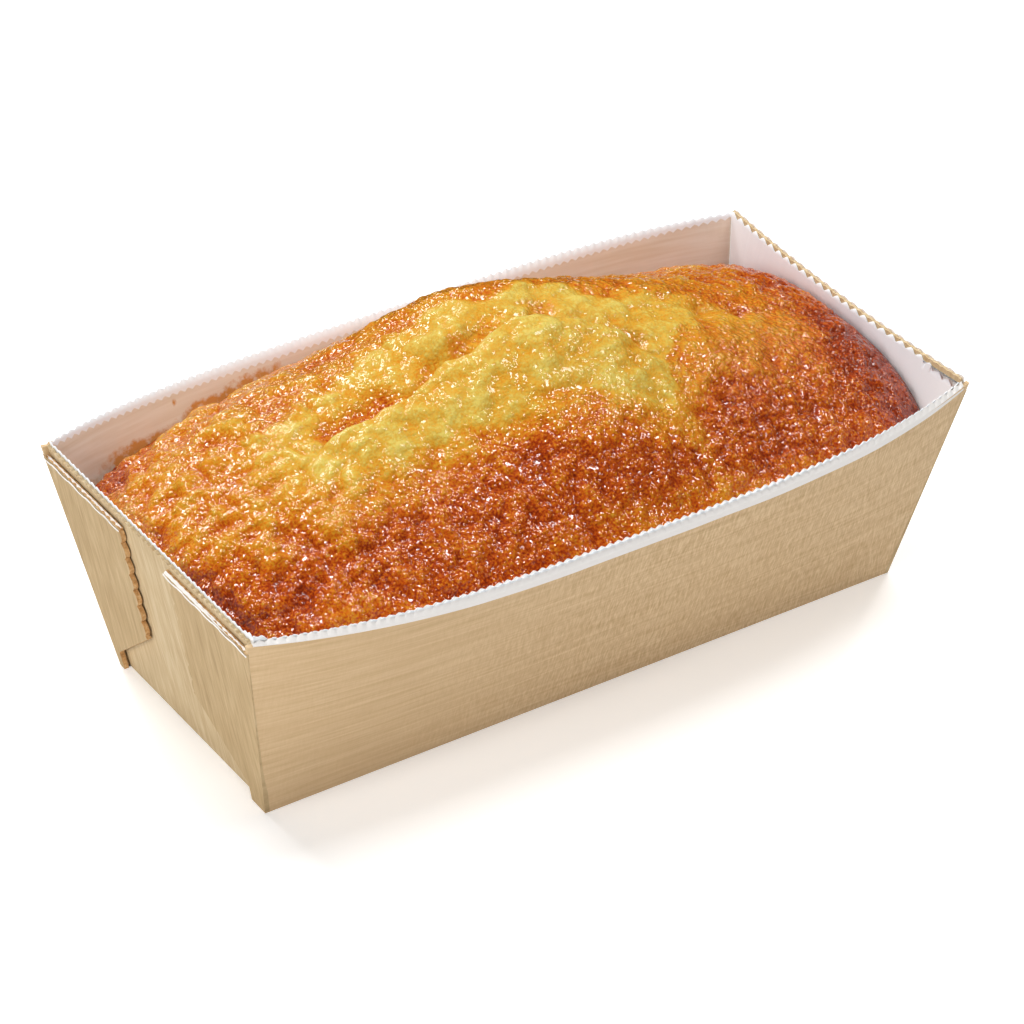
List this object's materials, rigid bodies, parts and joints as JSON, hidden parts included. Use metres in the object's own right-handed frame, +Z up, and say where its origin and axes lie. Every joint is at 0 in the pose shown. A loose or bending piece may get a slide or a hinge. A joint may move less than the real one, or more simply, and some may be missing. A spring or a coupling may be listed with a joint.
{
  "type": "pound cake loaf",
  "caption": "Golden pound cake loaf with a split pale top, in its folded wood veneer baking case with paper lining.",
  "frame": {"origin": "centre of the case's underside, on the surface it stands on", "axes": "+X along the loaf, -Y towards the front long wall, +Z up"},
  "size_m": [0.19, 0.1098, 0.0819],
  "materials": {
    "cake_crust": "baked golden crust with a thin clear glaze over a pale yellow split crumb",
    "veneer_board": "raw folded poplar veneer board with pinked edges",
    "baking_paper": "translucent white greaseproof paper with a pinked edge"
  },
  "bodies": {
    "root": {"cake": "cake_crust", "wood_case": "veneer_board", "paper_lining": "baking_paper"}
  },
  "joints": []
}
